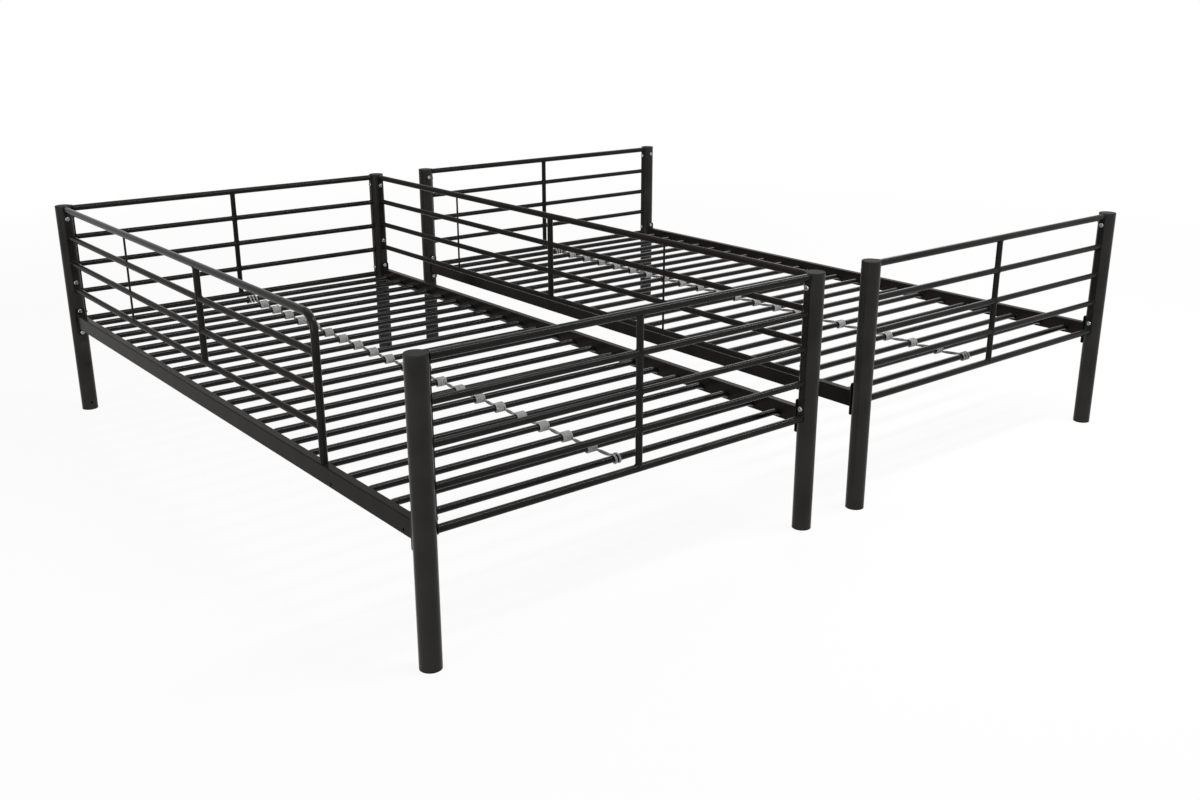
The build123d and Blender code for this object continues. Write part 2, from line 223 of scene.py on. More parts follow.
class BedCord(bpy.types.PropertyGroup):
    """Cord wound round every slat."""

    pale: colour("Pale", "Yarn on top of the braid", "c4c3c2")
    # The deep colour of the furrows between the yarns is painted shade
    deep: colour("Deep", "Yarn in the furrows of the braid", "565555")
    tip: colour("Tip", "Yarn melted at a sealed end", "4a4848")
    # The darkening of the free runs is painted shade
    free_run_shade_share: share("Stretched", "How far a free run has darkened towards the tip's colour", 0.7)
    ior: number("Refractive Index", "Refractive index of polyester", 1.45)
    gloss: share("Specular Level", "How much the yarns reflect", 0.05)
    smooth: share("Least Roughness", "Roughness on top of the braid", 0.85)
    rough: share("Most Roughness", "Roughness in the furrows", 1)
    yarn: length("Yarn Width", "Width of one yarn of the braid", 0.0021)
    yarn_depth: length("Yarn Depth", "Depth of the furrows between the yarns", 0.0005)
    furrow_share: share("Furrow", "Height of the weave up to which the yarn has its deep colour", 0.1)
    fuzz: length("Fuzz Size", "Distance between loose fibres", 0.00084)
    fuzz_share: share("Fuzz", "Height of the fuzz, as a share of the yarn's", 0.35)
    radius: length("Radius", "Radius of the cord where it runs free", 0.0038)
    wound_half_width: length("Wound Half Width", "Half the cord's width where it is wound", 0.00255)
    wound_half_depth: length("Wound Half Depth", "Half the cord's thickness where it is wound", 0.0021)
    free_orbits: number("Free Orbits", "How many radii of a turn from a slat the cord is round", 3)
    tip_swell: number("Tip Swell", "How many times wider a sealed end is than the cord", 1.1)
    tip_share: share("Tip Opening", "Width of a tip's last ring, as a share of the cord's", 0.01)
    slat_radius: length("Slat Radius", "Radius of the slats", 0.0076)
    clearance: length("Clearance", "Air between the cord and the slat", 0.00025)
    close_pitch: length("Close Pitch", "Distance between turns on most slats", 0.0051)
    open_pitch: length("Open Pitch", "Distance between turns on the first and last slat", 0.01)
    close_half_turns: number("Close Half Turns", "Half turns on most slats", 9.5)
    head_half_turns: number("Head Half Turns", "Half turns on the slat at the head", 5.5)
    head_lead: number("Head Lead", "Half turns there before the place where a cord arrives", 1)
    upper_half_turns: number("Upper Foot Half Turns", "Half turns at the foot of the upper bed", 3.25)
    lower_half_turns: number("Lower Foot Half Turns", "Half turns at the foot of the lower bed", 5.25)
    arrival: angle("Arrival", "Where round the slat the cord arrives", 68)
    leaving: angle("Leaving", "Where round the slat the cord leaves", 256)
    bight: length("Bight Radius", "Radius of the bend where the cord turns back behind a slat", 0.0026)
    set_off: length("Set-off", "How far the turns lie to the right of the bed's middle", 0.0018)
    link_reach: length("Link Reach", "How far a run keeps to its direction at both ends", 0.008)
    tail: length("Tail", "How far each end of the cord stands off its turns", 0.0076)
    unevenness: length("Unevenness", "How far a turn strays from its place", 0.00012)


class BedWelds(bpy.types.PropertyGroup):
    """Fillet welds under the powder coat."""

    radius: length("Bead Radius", "Half the width of a bead", 0.0017)
    ripple: length("Ripple", "Distance between the ripples of a bead", 0.0022)
    ripple_share: share("Ripple Depth", "How much a ripple stands out, as a share of the radius", 0.14)
    bar_radius: length("Bar Radius", "Radius of the thin bars and of an end frame's upright", 0.0075)
    rail_radius: length("Rail Radius", "Radius of the thick rails", 0.0085)
    stem_radius: length("Guard Upright Radius", "Radius of the guards' uprights", 0.008)
    proud: length("Proud", "How far a bead stands off an upright as thick as the bar", 0.0001)


class BedStudio(bpy.types.PropertyGroup):
    """Floor, lamps and lens."""

    floor: colour("Floor", "Pale floor", "e4e4e4")
    floor_reach: length("Floor Reach", "Half the width of the floor", 30)
    floor_fade: length("Floor Fade", "Distance at which the floor has faded into the background", 5)
    full_shadow_share: share("Full Shadow", "Share of that distance that has the full shadow", 0.5)
    shadow_share: share("Shadow", "How much of the beds' shadow shows on the floor", 0.1)
    ambient: share("Ambient", "Strength of the soft light from all sides", 0.35)
    top_power: watts("Top Lamp", "Softbox over the beds", 42)
    front_power: watts("Front Lamp", "Strip softbox high in front", 88)
    left_power: watts("Left Lamp", "Tall softbox on the left", 70)
    right_power: watts("Right Lamp", "Softbox high behind on the right", 55)
    lens: FloatProperty(
        name="Lens", description="Focal length", subtype="DISTANCE_CAMERA", min=1, default=37.264
    )


class BedSettings(bpy.types.PropertyGroup):
    """Everything that can be changed about the beds."""

    paint: PointerProperty(type=BedPaint)
    metal: PointerProperty(type=BedMetal)
    plastic: PointerProperty(type=BedPlastic)
    cord: PointerProperty(type=BedCord)
    welds: PointerProperty(type=BedWelds)
    studio: PointerProperty(type=BedStudio)


def new_object(name, data):
    """Object with its data, linked to the scene."""
    thing = bpy.data.objects.new(name, data)
    bpy.context.scene.collection.objects.link(thing)
    return thing


def bare_tree(owner):
    """Emptied node tree of a material or a world."""
    owner.use_nodes = True
    owner.node_tree.nodes.clear()
    return owner.node_tree


def add_node(tree, kind, inputs=None, **settings):
    """Add a node, set its options, and give its inputs a value or another node's output."""
    node = tree.nodes.new(kind)
    for name, value in settings.items():
        setattr(node, name, value)
    for key, value in (inputs or {}).items():
        if isinstance(value, bpy.types.NodeSocket):
            tree.links.new(value, node.inputs[key])
        else:
            node.inputs[key].default_value = value
    return node


def opaque(rgb):
    """Red, green, blue and an alpha of one."""
    return (*rgb, 1)


def new_material(name, constants):
    """Material with its node tree and a principled shader, whose constant inputs are given."""
    material = bpy.data.materials.new(name)
    tree = bare_tree(material)
    shader = add_node(tree, "ShaderNodeBsdfPrincipled", constants)
    add_node(tree, "ShaderNodeOutputMaterial", {"Surface": shader.outputs["BSDF"]})
    return material, tree, shader


def finish_surface(tree, shader, tone, colours, roughness, height, depth):
    """Link to a shader two colours and two values of roughness, blended by a noise, and a bump."""
    span = {"Value": tone, "From Min": NOISE_LOW, "From Max": NOISE_HIGH}
    patches = add_node(tree, "ShaderNodeMapRange", {**span, "To Min": 0, "To Max": 1})
    blend = {"Factor": patches.outputs["Result"], "A": opaque(colours[0]), "B": opaque(colours[1])}
    tinted = add_node(tree, "ShaderNodeMix", blend, data_type="RGBA")
    tree.links.new(tinted.outputs["Result"], shader.inputs["Base Color"])
    dulled = add_node(tree, "ShaderNodeMapRange", {**span, "To Min": roughness[0], "To Max": roughness[1]})
    tree.links.new(dulled.outputs["Result"], shader.inputs["Roughness"])
    bump = add_node(tree, "ShaderNodeBump", {"Height": height, "Distance": depth, "Strength": 1})
    tree.links.new(bump.outputs["Normal"], shader.inputs["Normal"])


def powder_coat(name, part, paint):
    """Mild steel tube, sprayed with epoxy-polyester powder and baked.

    The eye sees a deep semi-gloss black with soft, wide highlights and a faint orange peel in them.
    """
    constants = {"IOR": paint.ior, "Specular IOR Level": getattr(paint, f"{part}_gloss")}
    material, tree, shader = new_material(name, constants)
    place = add_node(tree, "ShaderNodeTexCoord").outputs["Object"]
    patchy = {"Vector": place, "Scale": 1 / paint.patch, "Detail": NOISE_LAYERS["patch"]}
    tone = add_node(tree, "ShaderNodeTexNoise", patchy).outputs["Fac"]
    peeled = {"Vector": place, "Scale": 1 / paint.peel, "Detail": NOISE_LAYERS["peel"]}
    height = add_node(tree, "ShaderNodeTexNoise", peeled).outputs["Fac"]
    colours = getattr(paint, f"{part}_dark"), getattr(paint, f"{part}_light")
    roughness = paint.smooth, paint.rough
    finish_surface(tree, shader, tone, colours, roughness, height, paint.peel_depth)
    return material


def zinc_plate(name, part, metal):
    """Cold-formed steel, electroplated with zinc.

    The eye sees a cool silver, clouded by fine patches that are darker and duller than the rest.
    """
    material, tree, shader = new_material(name, {"Metallic": 1})
    place = add_node(tree, "ShaderNodeTexCoord").outputs["Object"]
    grained = {"Vector": place, "Scale": 1 / metal.grain, "Detail": NOISE_LAYERS["grain"]}
    tone = add_node(tree, "ShaderNodeTexNoise", grained).outputs["Fac"]
    colours = getattr(metal, part), getattr(metal, f"{part}_dull")
    roughness = getattr(metal, f"{part}_smooth"), getattr(metal, f"{part}_rough")
    finish_surface(tree, shader, tone, colours, roughness, tone, metal.grain_depth)
    return material


def moulded_plastic(name, part, plastic):
    """Injection moulded plastic, coloured right through.

    The eye sees an even black with a fine spark grain, which is satin on the caps and matt on the glides.
    """
    constants = {"IOR": plastic.ior, "Specular IOR Level": getattr(plastic, f"{part}_gloss")}
    material, tree, shader = new_material(name, constants)
    place = add_node(tree, "ShaderNodeTexCoord").outputs["Object"]
    sparked = {"Vector": place, "Scale": 1 / plastic.spark, "Detail": NOISE_LAYERS["spark"]}
    tone = add_node(tree, "ShaderNodeTexNoise", sparked).outputs["Fac"]
    tint = getattr(plastic, part)
    lighter = [value * getattr(plastic, f"{part}_lift") for value in tint]
    roughness = getattr(plastic, f"{part}_smooth"), getattr(plastic, f"{part}_rough")
    finish_surface(tree, shader, tone, (tint, lighter), roughness, tone, plastic.spark_depth)
    return material


def braided_polyester(cord):
    """Polyester yarns braided round a core.

    The eye sees a dry grey cord with a herringbone of yarns and painted shade in their furrows, darker at
    its melted tips, and darker by painted shade where it runs free. UV runs round the cord and along it,
    both in metres.
    """
    constants = {"IOR": cord.ior, "Specular IOR Level": cord.gloss}
    material, tree, shader = new_material("braided_polyester_cord", constants)
    uv = add_node(tree, "ShaderNodeUVMap", uv_map="UVMap").outputs["UV"]
    axes = add_node(tree, "ShaderNodeSeparateXYZ", {"Vector": uv}).outputs
    strands = []
    for operation in ("ADD", "SUBTRACT"):
        slant = add_node(tree, "ShaderNodeMath", {0: axes["X"], 1: axes["Y"]}, operation=operation)
        turns = {0: slant.outputs["Value"], 1: HALF_TURN / cord.yarn}
        phase = add_node(tree, "ShaderNodeMath", turns, operation="MULTIPLY")
        wave = add_node(tree, "ShaderNodeMath", {0: phase.outputs["Value"]}, operation="SINE")
        strands.append(add_node(tree, "ShaderNodeMath", {0: wave.outputs["Value"]}, operation="ABSOLUTE"))
    woven = {0: strands[0].outputs["Value"], 1: strands[1].outputs["Value"]}
    braid = add_node(tree, "ShaderNodeMath", woven, operation="MULTIPLY").outputs["Value"]
    place = add_node(tree, "ShaderNodeTexCoord").outputs["Object"]
    fuzzy = {"Vector": place, "Scale": 1 / cord.fuzz, "Detail": NOISE_LAYERS["fuzz"]}
    fuzz = add_node(tree, "ShaderNodeTexNoise", fuzzy).outputs["Fac"]
    layered = {0: fuzz, 1: cord.fuzz_share, 2: braid}
    height = add_node(tree, "ShaderNodeMath", layered, operation="MULTIPLY_ADD").outputs["Value"]
    # Low parts of the weave take the deep colour: painted shade in the furrows
    raised = {"Value": height, "From Min": cord.furrow_share, "From Max": 1, "To Min": 0, "To Max": 1}
    on_top = add_node(tree, "ShaderNodeMapRange", raised).outputs["Result"]
    yarns = {"Factor": on_top, "A": opaque(cord.deep), "B": opaque(cord.pale)}
    clean = add_node(tree, "ShaderNodeMix", yarns, data_type="RGBA").outputs["Result"]
    # Per-point darkening towards the tip's colour: real melting at the tips, painted shade on the free runs
    darkness = add_node(tree, "ShaderNodeAttribute", attribute_name="darkness").outputs["Fac"]
    darkened = {"Factor": darkness, "A": clean, "B": opaque(cord.tip)}
    tinted = add_node(tree, "ShaderNodeMix", darkened, data_type="RGBA")
    tree.links.new(tinted.outputs["Result"], shader.inputs["Base Color"])
    worn = {"Value": height, "From Min": 0, "From Max": 1, "To Min": cord.rough, "To Max": cord.smooth}
    dulled = add_node(tree, "ShaderNodeMapRange", worn)
    tree.links.new(dulled.outputs["Result"], shader.inputs["Roughness"])
    bump = add_node(tree, "ShaderNodeBump", {"Height": height, "Distance": cord.yarn_depth, "Strength": 1})
    tree.links.new(bump.outputs["Normal"], shader.inputs["Normal"])
    return material


def put_on(name, material):
    """Give a material to all faces of a CAD node."""
    for place in frame["nodes"][name].material_slots:
        place.material = material


def dress(slot_name, material):
    """Give a material to every CAD node whose record names the slot, and return the nodes' names."""
    names = [part["node"] for part in frame["record"]["subparts"] if part["material_slot"] == slot_name]
    if not names:
        raise RuntimeError(f"no node has the slot {slot_name}")
    for name in names:
        put_on(name, material)
    return names


def middle_of(node):
    """Middle of a CAD node's box."""
    low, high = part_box(node)
    return (low + high) / 2


class BED_OT_coat_steel(bpy.types.Operator):
    """Powder coat the posts, frames, rails, slats and guards"""

    bl_idname = "bunk_bed.coat_steel"
    bl_label = "Coat Steel"

    def execute(self, context):
        paint = context.scene.bunk_bed.paint
        names = dress("black_powder_coat", powder_coat("semi_gloss_powder_coat", "frames", paint))
        # Copies of one coat: the posts' lighter by painted light, the slats' darker by painted shade, the
        # rails' warmer by painted reflection
        for part, words in LIT_AND_SHADED_COATS.items():
            coat = powder_coat(f"semi_gloss_powder_coat_{part}", part, paint)
            for name in names:
                if any(word in name for word in words):
                    put_on(name, coat)
        return {"FINISHED"}


class BED_OT_plate_metal(bpy.types.Operator):
    """Plate the bolts, the threaded inserts and the stacking sleeves"""

    bl_idname = "bunk_bed.plate_metal"
    bl_label = "Plate Metal"

    def execute(self, context):
        metal = context.scene.bunk_bed.metal
        dress("zinc_steel", zinc_plate("bright_zinc_plated_steel", "bolt", metal))
        dress("plated_steel", zinc_plate("dull_zinc_plated_steel", "sleeve", metal))
        return {"FINISHED"}


class BED_OT_mould_plastic(bpy.types.Operator):
    """Mould the post caps, the foot glides and the guard's plug"""

    bl_idname = "bunk_bed.mould_plastic"
    bl_label = "Mould Plastic"

    def execute(self, context):
        plastic = context.scene.bunk_bed.plastic
        dress("cap_plastic", moulded_plastic("satin_polypropylene", "cap", plastic))
        dress("glide_plastic", moulded_plastic("matt_polyethylene", "glide", plastic))
        return {"FINISHED"}


def wound_orbit(cord):
    """Distance from the middle of a slat to the middle of the cord round it."""
    return cord.slat_radius + cord.wound_half_depth + cord.clearance


def slat_line(cord, bed):
    """Middle of the first slat at the head and of the last at the foot."""
    low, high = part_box(f"{bed}_slats")
    head = Vector(((low.x + high.x) / 2, high.y - cord.slat_radius, high.z - cord.slat_radius))
    return head, Vector((head.x, low.y + cord.slat_radius, head.z))


def round_slat(slat, x, turned, reach):
    """Place beside a slat, at an angle from the head side and a distance from its middle line."""
    return slat + Vector((x, reach * math.cos(turned), reach * math.sin(turned)))


def winding_points(cord, slat, first, last, pitch, drift):
    """Control points of the turns round one slat, from one count of half turns to another."""
    steps_per_half_turn = 6
    step_angle = HALF_TURN / steps_per_half_turn
    # A quadratic spline passes inside its control points, so these lie a little further out
    orbit = wound_orbit(cord) / math.cos(step_angle / 2)
    count = round((last - first) * steps_per_half_turn)
    points = []
    for step in range(count):
        turned = cord.arrival + HALF_TURN * first + step_angle * (step + 0.5)
        stray = cord.unevenness * drift.uniform(-1, 1)
        x = pitch * (step + 0.5 - count / 2) / steps_per_half_turn / 2 + stray
        points.append(round_slat(slat, x, turned, orbit + abs(stray)))
    return points


def bight_points(cord, slat, x, start):
    """Control points of the bend that turns the cord back behind a slat, and of its way down under it."""
    orbit = wound_orbit(cord)
    steps = 3
    bend_step = HALF_TURN / steps
    reach = cord.bight / math.cos(bend_step / 2)
    points = []
    for step in range(steps):
        turned = bend_step * (step + 0.5)
        aside = x + cord.bight - reach * math.cos(turned)
        points.append(round_slat(slat, aside, start + reach * math.sin(turned) / orbit, orbit))
    back_step = (start % FULL_TURN - cord.leaving) / steps
    for step in range(steps):
        turned = start - back_step * (step + 0.5)
        points.append(round_slat(slat, x + 2 * cord.bight, turned, orbit / math.cos(back_step / 2)))
    return points


def cord_route(cord, bed):
    """Control points of one whole cord, from the slat at the head to the slat at the foot."""
    head, foot = slat_line(cord, bed)
    orbit = wound_orbit(cord)
    drift = random.Random(DRIFT_SEED)
    spans = [(-cord.head_lead, cord.head_half_turns, cord.open_pitch)]
    spans += [(0, cord.close_half_turns, cord.close_pitch)] * (SLAT_COUNT - 2)
    spans += [(0, getattr(cord, f"{bed}_half_turns"), cord.open_pitch)]
    route = []
    leave = None
    for index, (first, last, pitch) in enumerate(spans):
        slat = head.lerp(foot, index / (SLAT_COUNT - 1))
        slat.x += cord.set_off
        turn_count = (last - first) / 2
        half_width = pitch * turn_count / 2
        turns = winding_points(cord, slat, first, last, pitch, drift)
        arrive = round_slat(slat, -half_width, cord.arrival + HALF_TURN * first, orbit)
        way = (turns[0] - arrive).normalized()
        if leave is None:
            route.append(arrive - way * cord.tail)
        else:
            heading = (arrive - leave).normalized()
            route += [leave + heading * cord.link_reach, arrive - way * cord.link_reach]
        route += turns
        if index < SLAT_COUNT - 1:
            route += bight_points(cord, slat, half_width, cord.arrival + HALF_TURN * last)
            leave = round_slat(slat, half_width + 2 * cord.bight, cord.leaving, orbit)
    way = (route[-1] - route[-2]).normalized()
    return [*route, route[-1] + way * cord.tail]


def spline_points(name, points):
    """Points along the smooth open NURBS curve that follows a list of control points."""
    data = bpy.data.curves.new(name, "CURVE")
    data.dimensions = "3D"
    spline = data.splines.new("NURBS")
    spline.points.add(len(points) - 1)
    for place, point in zip(spline.points, points):
        place.co = (*point, 1)
    spline.order_u = SPLINE_ORDER
    spline.use_endpoint_u = True
    spline.resolution_u = SPLINE_STEPS
    holder = new_object(name, data)
    bpy.context.view_layer.update()
    mesh = bpy.data.meshes.new_from_object(holder.evaluated_get(bpy.context.evaluated_depsgraph_get()))
    found = [vertex.co.copy() for vertex in mesh.vertices]
    bpy.data.objects.remove(holder)
    bpy.data.curves.remove(data)
    bpy.data.meshes.remove(mesh)
    return found


def cord_rows(cord, path, bed):
    """Cross-sections along a cord, which the slats press flat and which carries painted shade where it runs
    free.
    """
    head, foot = slat_line(cord, bed)
    orbit = wound_orbit(cord)
    pitch = (foot - head) / (SLAT_COUNT - 1)
    flat = UP
    rows = []
    for index, point in enumerate(path):
        way = (path[min(index + 1, len(path) - 1)] - path[max(index - 1, 0)]).normalized()
        nearest = round((point.y - head.y) / pitch.y)
        slat = head + pitch * min(max(nearest, 0), SLAT_COUNT - 1)
        outward = Vector((0, point.y - slat.y, point.z - slat.z))
        pressed = (cord.free_orbits - outward.length / orbit) / (cord.free_orbits - 1)
        pressed = min(max(pressed, 0), 1) ** 2
        outward.normalize()
        if outward.dot(flat) < 0:
            outward.negate()
        flat = flat.lerp(outward, pressed)
        flat = (flat - way * flat.dot(way)).normalized()
        half_width = cord.radius + (cord.wound_half_width - cord.radius) * pressed
        half_depth = cord.radius + (cord.wound_half_depth - cord.radius) * pressed
        # The last value darkens a free run towards the tip's colour: painted shade
        rows.append(CordRow(point, way, flat, half_width, half_depth, cord.free_run_shade_share * (1 - pressed)))
    return rows


def sealed_tip(cord, row, outward):
    """Cross-sections of a rounded, slightly swollen melted tip beyond one end of a cord."""
    tip = []
    for step in range(TIP_STEPS + 1):
        turned = HALF_TURN / 2 * step / TIP_STEPS
        swell = max(cord.tip_swell * math.cos(turned), cord.tip_share)
        point = row.point + row.way * outward * row.half_width * math.sin(turned)
        tip.append(CordRow(point, row.way, row.flat, row.half_width * swell, row.half_depth * swell, 1))
    return tip


def sweep_cord(name, rows):
    """Mesh of an oval cord through its cross-sections, with its UV in metres round and along."""
    verts, faces, darkness, marks = [], [], [], []
    along = 0
    for index, row in enumerate(rows):
        across = row.way.cross(row.flat)
        along += (row.point - rows[max(index - 1, 0)].point).length
        marks.append(along)
        for side in range(CORD_SIDES):
            turned = FULL_TURN * side / CORD_SIDES
            aside = across * row.half_width * math.cos(turned)
            verts.append(row.point + aside + row.flat * row.half_depth * math.sin(turned))
            darkness.append(row.darkness)
        if index:
            near, far = (index - 1) * CORD_SIDES, index * CORD_SIDES
            for side in range(CORD_SIDES):
                beyond = (side + 1) % CORD_SIDES
                faces.append((near + side, near + beyond, far + beyond, far + side))
    mesh = bpy.data.meshes.new(name)
    mesh.from_pydata(verts, [], faces)
    mesh.polygons.foreach_set("use_smooth", [True] * len(faces))
    mesh.attributes.new("darkness", "FLOAT", "POINT").data.foreach_set("value", darkness)
    middle = rows[len(rows) // 2]
    girth = math.pi * (middle.half_width + middle.half_depth)
    values = []
    for near, far in zip(marks, marks[1:]):
        for side in range(CORD_SIDES):
            left, right = girth * side / CORD_SIDES, girth * (side + 1) / CORD_SIDES
            values += [left, near, right, near, right, far, left, far]
    mesh.uv_layers.new(name="UVMap").data.foreach_set("uv", values)
    return mesh


class BED_OT_wind_cords(bpy.types.Operator):
    """Wind a braided cord round the slats of each bed"""

    bl_idname = "bunk_bed.wind_cords"
    bl_label = "Wind Cords"

    def execute(self, context):
        cord = context.scene.bunk_bed.cord
        material = braided_polyester(cord)
        for bed in BEDS:
            rows = cord_rows(cord, spline_points(f"{bed}_cord_line", cord_route(cord, bed)), bed)
            rows = [*reversed(sealed_tip(cord, rows[0], -1)), *rows, *sealed_tip(cord, rows[-1], 1)]
            mesh = sweep_cord(f"{bed}_braided_cord", rows)
            mesh.materials.append(material)
            piece = new_object(f"{bed}_braided_cord", mesh)
            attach(piece, f"{bed}_bed")
            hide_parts(f"{bed}_slat_cord")
        return {"FINISHED"}


def joint_loop(welds, centre, way, host_line, radius, host_radius=0):
    """Closed line where a tube leaves a host tube, or a flat face when the host has no radius.

    The centre is on the host's middle line or on the face, and way points out along the joining tube.
    """
    side = way.cross(host_line)
    count = max(LEAST_BEAD_POINTS, 2 * round(math.pi * radius / welds.ripple))
    points = []
    for step in range(count):
        turned = FULL_TURN * step / count
        beside = radius * math.cos(turned)
        depth = math.sqrt(max(host_radius**2 - beside**2, 0))
        points.append(centre + side * beside + host_line * radius * math.sin(turned) + way * depth)
    return points


def bar_heights(node, radius):
    """Heights of the three evenly spaced bars of a CAD node, from the lowest up."""
    low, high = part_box(node)
    first, last = low.z + radius, high.z - radius
    return [first, (first + last) / 2, last]


def frame_loops(welds, bed, end):
    """Weld lines of one end frame: rails and bars to the strips, and the upright to the bars and rails."""
    top = middle_of(f"{bed}_{end}_top_rail")
    low = middle_of(f"{bed}_{end}_low_rail")
    left, right = (corner.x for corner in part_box(f"{bed}_{end}_top_rail"))
    bars = bar_heights(f"{bed}_{end}_rails", welds.bar_radius)
    tubes = [(top.z, welds.rail_radius), (low.z, welds.rail_radius)]
    tubes += [(height, welds.bar_radius) for height in bars]
    loops = []
    for height, radius in tubes:
        for x, way in ((left, ACROSS), (right, -ACROSS)):
            loops.append(joint_loop(welds, Vector((x, top.y, height)), way, ALONG, radius))
    upright_radius = welds.bar_radius + welds.proud
    for height in bars:
        for way in (ACROSS, -ACROSS):
            centre = Vector((top.x, top.y, height))
            loops.append(joint_loop(welds, centre, way, UP, welds.bar_radius, upright_radius))
    for height, way in ((top.z, -UP), (low.z, UP)):
        centre = Vector((top.x, top.y, height))
        loops.append(joint_loop(welds, centre, way, ACROSS, welds.bar_radius, welds.rail_radius))
    return loops


def slat_loops(welds, bed, radius):
    """Weld lines at both ends of every slat, on the inner faces of the side rails."""
    low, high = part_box(f"{bed}_slats")
    pitch = (high.y - low.y - 2 * radius) / (SLAT_COUNT - 1)
    loops = []
    for index in range(SLAT_COUNT):
        y = low.y + radius + pitch * index
        for x, way in ((low.x, ACROSS), (high.x, -ACROSS)):
            loops.append(joint_loop(welds, Vector((x, y, low.z + radius)), way, ALONG, radius))
    return loops


def plate_loops(welds, bed):
    """Weld lines round both ends of each side rail, on the end plates."""
    loops = []
    for side in ("left", "right"):
        low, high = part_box(f"{bed}_{side}_side_rail")
        for y in (low.y, high.y):
            outline = ((low.x, low.z), (high.x, low.z), (high.x, high.z), (low.x, high.z))
            corners = [Vector((x, y, z)) for x, z in outline]
            points = []
            for start, end in zip(corners, corners[1:] + corners[:1]):
                count = 2 * round((end - start).length / welds.ripple / 2)
                points += [start.lerp(end, step / count) for step in range(1, count)]
            loops.append(points)
    return loops


def guard_loops(welds, name):
    """Weld lines of one guard: bars to the strips and the leg, and the upright to the bars and the top."""
    low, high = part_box(f"upper_{name}_guard_rails")
    x = (low.x + high.x) / 2
    bars = bar_heights(f"upper_{name}_guard_rails", welds.bar_radius)
    top = middle_of("upper_head_top_rail").z
    stem_y = middle_of(f"upper_{name}_guard_upright").y
    tubes = [(height, welds.bar_radius) for height in bars] + [(top, welds.rail_radius)]
    loops = []
    for height, radius in tubes:
        loops.append(joint_loop(welds, Vector((x, high.y, height)), -ALONG, ACROSS, radius))
        if name == "back":
            loops.append(joint_loop(welds, Vector((x, -high.y, height)), ALONG, ACROSS, radius))
    if name == "front":
        leg_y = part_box("upper_front_guard_top_tube")[0].y + welds.rail_radius
        for height in bars:
            centre = Vector((x, leg_y, height))
            loops.append(joint_loop(welds, centre, ALONG, UP, welds.bar_radius, welds.rail_radius))
    for height in bars[1:]:
        for way in (ALONG, -ALONG):
            centre = Vector((x, stem_y, height))
            loops.append(joint_loop(welds, centre, way, UP, welds.bar_radius, welds.stem_radius))
    stem_top = Vector((x, stem_y, top))
    loops.append(joint_loop(welds, stem_top, -UP, ALONG, welds.stem_radius, welds.rail_radius))
    return loops


def lay_beads(name, body, loops, welds, material):
    """One curve object with a rippled bead along every closed line."""
    data = bpy.data.curves.new(name, "CURVE")
    data.dimensions = "3D"
    data.bevel_depth = welds.radius
    data.bevel_resolution = BEAD_ROUNDNESS
    for points in loops:
        spline = data.splines.new("POLY")
        spline.points.add(len(points) - 1)
        for index, (place, point) in enumerate(zip(spline.points, points)):
            place.co = (*point, 1)
            place.radius = 1 + welds.ripple_share * (1 if index % 2 else -1)
        spline.use_cyclic_u = True
        spline.use_smooth = True
    data.materials.append(material)
    piece = new_object(name, data)
    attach(piece, body)


class BED_OT_lay_welds(bpy.types.Operator):
    """Lay rippled fillet welds where the tubes meet"""

    bl_idname = "bunk_bed.lay_welds"
    bl_label = "Lay Welds"

    def execute(self, context):
        settings = context.scene.bunk_bed
        welds = settings.welds
        slat_radius = settings.cord.slat_radius
        material = bpy.data.materials["semi_gloss_powder_coat"]
        for bed in BEDS:
            body = f"{bed}_bed"
            for end in ENDS:
                lay_beads(f"{bed}_{end}_frame_welds", body, frame_loops(welds, bed, end), welds, material)
            lay_beads(f"{bed}_slat_welds", body, slat_loops(welds, bed, slat_radius), welds, material)
            lay_beads(f"{bed}_end_plate_welds", body, plate_loops(welds, bed), welds, material)
        for name in ("front", "back"):
            lay_beads(f"upper_{name}_guard_welds", "upper_bed", guard_loops(welds, name), welds, material)
        return {"FINISHED"}


def softbox(name, power, place, target, width, height):
    """Rectangular lamp aimed at a target."""
    lamp = bpy.data.lights.new(name, "AREA")
    lamp.shape = "RECTANGLE"
    lamp.size = width
    lamp.size_y = height
    lamp.energy = power
    thing = new_object(name, lamp)
    thing.visible_camera = False
    thing.location = place
    thing.rotation_euler = (Vector(target) - Vector(place)).to_track_quat("-Z", "Y").to_euler()


def seen_ray(tree):
    """One for rays that reach the camera directly or by way of gloss or glass, and zero for the rest."""
    rays = add_node(tree, "ShaderNodeLightPath").outputs
    direct = {0: rays["Is Camera Ray"], 1: rays["Is Glossy Ray"]}
    either = add_node(tree, "ShaderNodeMath", direct, operation="MAXIMUM")
    through = {0: either.outputs["Value"], 1: rays["Is Transmission Ray"]}
    return add_node(tree, "ShaderNodeMath", through, operation="MAXIMUM").outputs["Value"]


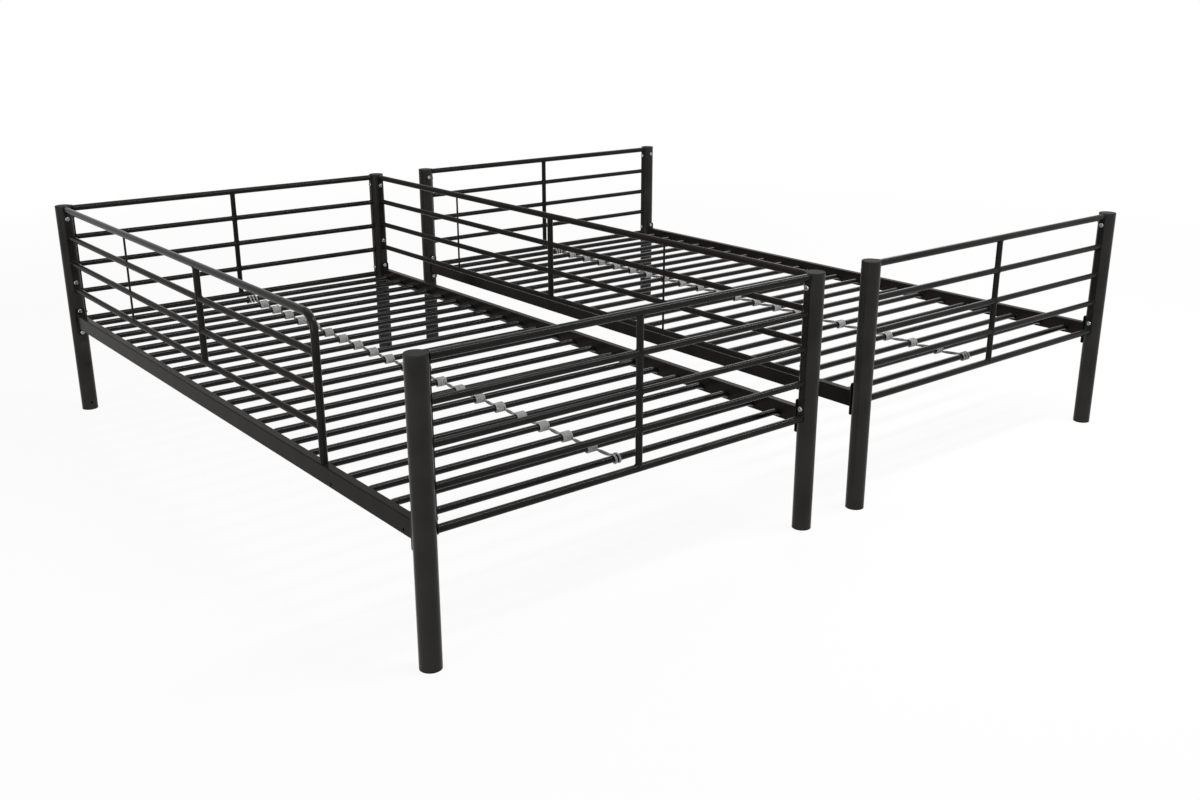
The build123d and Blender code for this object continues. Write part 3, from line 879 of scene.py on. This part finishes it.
def studio_floor(studio):
    """Matt painted board, pale and even, which fades into the white background away from the beds."""
    reach = studio.floor_reach
    mesh = bpy.data.meshes.new("studio_floor")
    corners = [(-reach, -reach, 0), (reach, -reach, 0), (reach, reach, 0), (-reach, reach, 0)]
    mesh.from_pydata(corners, [], [(0, 1, 2, 3)])
    material = bpy.data.materials.new("matt_painted_floor")
    tree = bare_tree(material)
    painted = add_node(tree, "ShaderNodeBsdfDiffuse", {"Color": opaque(studio.floor)})
    white = add_node(tree, "ShaderNodeEmission", {"Color": WHITE, "Strength": 1})
    place = add_node(tree, "ShaderNodeTexCoord").outputs["Object"]
    shrunk = {0: place, "Scale": 1 / studio.floor_fade}
    scaled = add_node(tree, "ShaderNodeVectorMath", shrunk, operation="SCALE").outputs["Vector"]
    globe = add_node(tree, "ShaderNodeTexGradient", {"Vector": scaled}, gradient_type="SPHERICAL")
    fade = {"Value": globe.outputs["Fac"], "From Min": 0, "From Max": 1 - studio.full_shadow_share}
    paler = {**fade, "To Min": 1, "To Max": 1 - studio.shadow_share}
    whiteness = add_node(tree, "ShaderNodeMapRange", paler).outputs["Result"]
    seen = {0: whiteness, 1: seen_ray(tree)}
    factor = add_node(tree, "ShaderNodeMath", seen, operation="MULTIPLY").outputs["Value"]
    layers = {0: factor, 1: painted.outputs["BSDF"], 2: white.outputs["Emission"]}
    surface = add_node(tree, "ShaderNodeMixShader", layers)
    add_node(tree, "ShaderNodeOutputMaterial", {"Surface": surface.outputs["Shader"]})
    mesh.materials.append(material)
    new_object("studio_floor", mesh)


def studio_world(studio):
    """White behind the beds and in their gloss, and a soft grey light from all sides."""
    world = bpy.data.worlds.new("studio_world")
    tree = bare_tree(world)
    soft = add_node(tree, "ShaderNodeBackground", {"Color": WHITE, "Strength": studio.ambient})
    white = add_node(tree, "ShaderNodeBackground", {"Color": WHITE, "Strength": 1})
    layers = {0: seen_ray(tree), 1: soft.outputs["Background"], 2: white.outputs["Background"]}
    surface = add_node(tree, "ShaderNodeMixShader", layers)
    add_node(tree, "ShaderNodeOutputWorld", {"Surface": surface.outputs["Shader"]})
    bpy.context.scene.world = world


class BED_OT_set_stage(bpy.types.Operator):
    """Set the floor, the background, the lamps and the camera"""

    bl_idname = "bunk_bed.set_stage"
    bl_label = "Set Stage"

    def execute(self, context):
        studio = context.scene.bunk_bed.studio
        studio_floor(studio)
        studio_world(studio)
        for name, box in SOFTBOXES.items():
            softbox(f"{name}_softbox", getattr(studio, f"{name}_power"), **box)
        lens = bpy.data.cameras.new("studio_camera")
        lens.lens = studio.lens
        lens.sensor_width = SENSOR_WIDTH
        camera = new_object("studio_camera", lens)
        camera.location = CAMERA_PLACE
        camera.rotation_euler = [math.radians(turn) for turn in CAMERA_TURNS]
        context.scene.camera = camera
        context.scene.view_settings.view_transform = "Standard"
        return {"FINISHED"}


OPERATORS = (
    BED_OT_coat_steel,
    BED_OT_plate_metal,
    BED_OT_mould_plastic,
    BED_OT_wind_cords,
    BED_OT_lay_welds,
    BED_OT_set_stage,
)


class BED_PT_bunk_bed(bpy.types.Panel):
    """Steps that dress the beds, in order"""

    bl_idname = "BED_PT_bunk_bed"
    bl_label = "Metal Bunk Bed"
    bl_space_type = "VIEW_3D"
    bl_region_type = "UI"
    bl_category = "Bunk Bed"

    def draw(self, context):
        for operator in OPERATORS:
            self.layout.operator(operator.bl_idname)


GROUPS = (BedPaint, BedMetal, BedPlastic, BedCord, BedWelds, BedStudio, BedSettings)


def register():
    for kind in (*GROUPS, *OPERATORS, BED_PT_bunk_bed):
        bpy.utils.register_class(kind)
    bpy.types.Scene.bunk_bed = PointerProperty(type=BedSettings)


def unregister():
    del bpy.types.Scene.bunk_bed
    for kind in reversed((*GROUPS, *OPERATORS, BED_PT_bunk_bed)):
        bpy.utils.unregister_class(kind)


def main():
    """Dress the beds, piece by piece."""
    register()
    bpy.ops.bunk_bed.coat_steel()
    bpy.ops.bunk_bed.plate_metal()
    bpy.ops.bunk_bed.mould_plastic()
    bpy.ops.bunk_bed.wind_cords()
    bpy.ops.bunk_bed.lay_welds()
    bpy.ops.bunk_bed.set_stage()


if __name__ == "__main__":
    main()
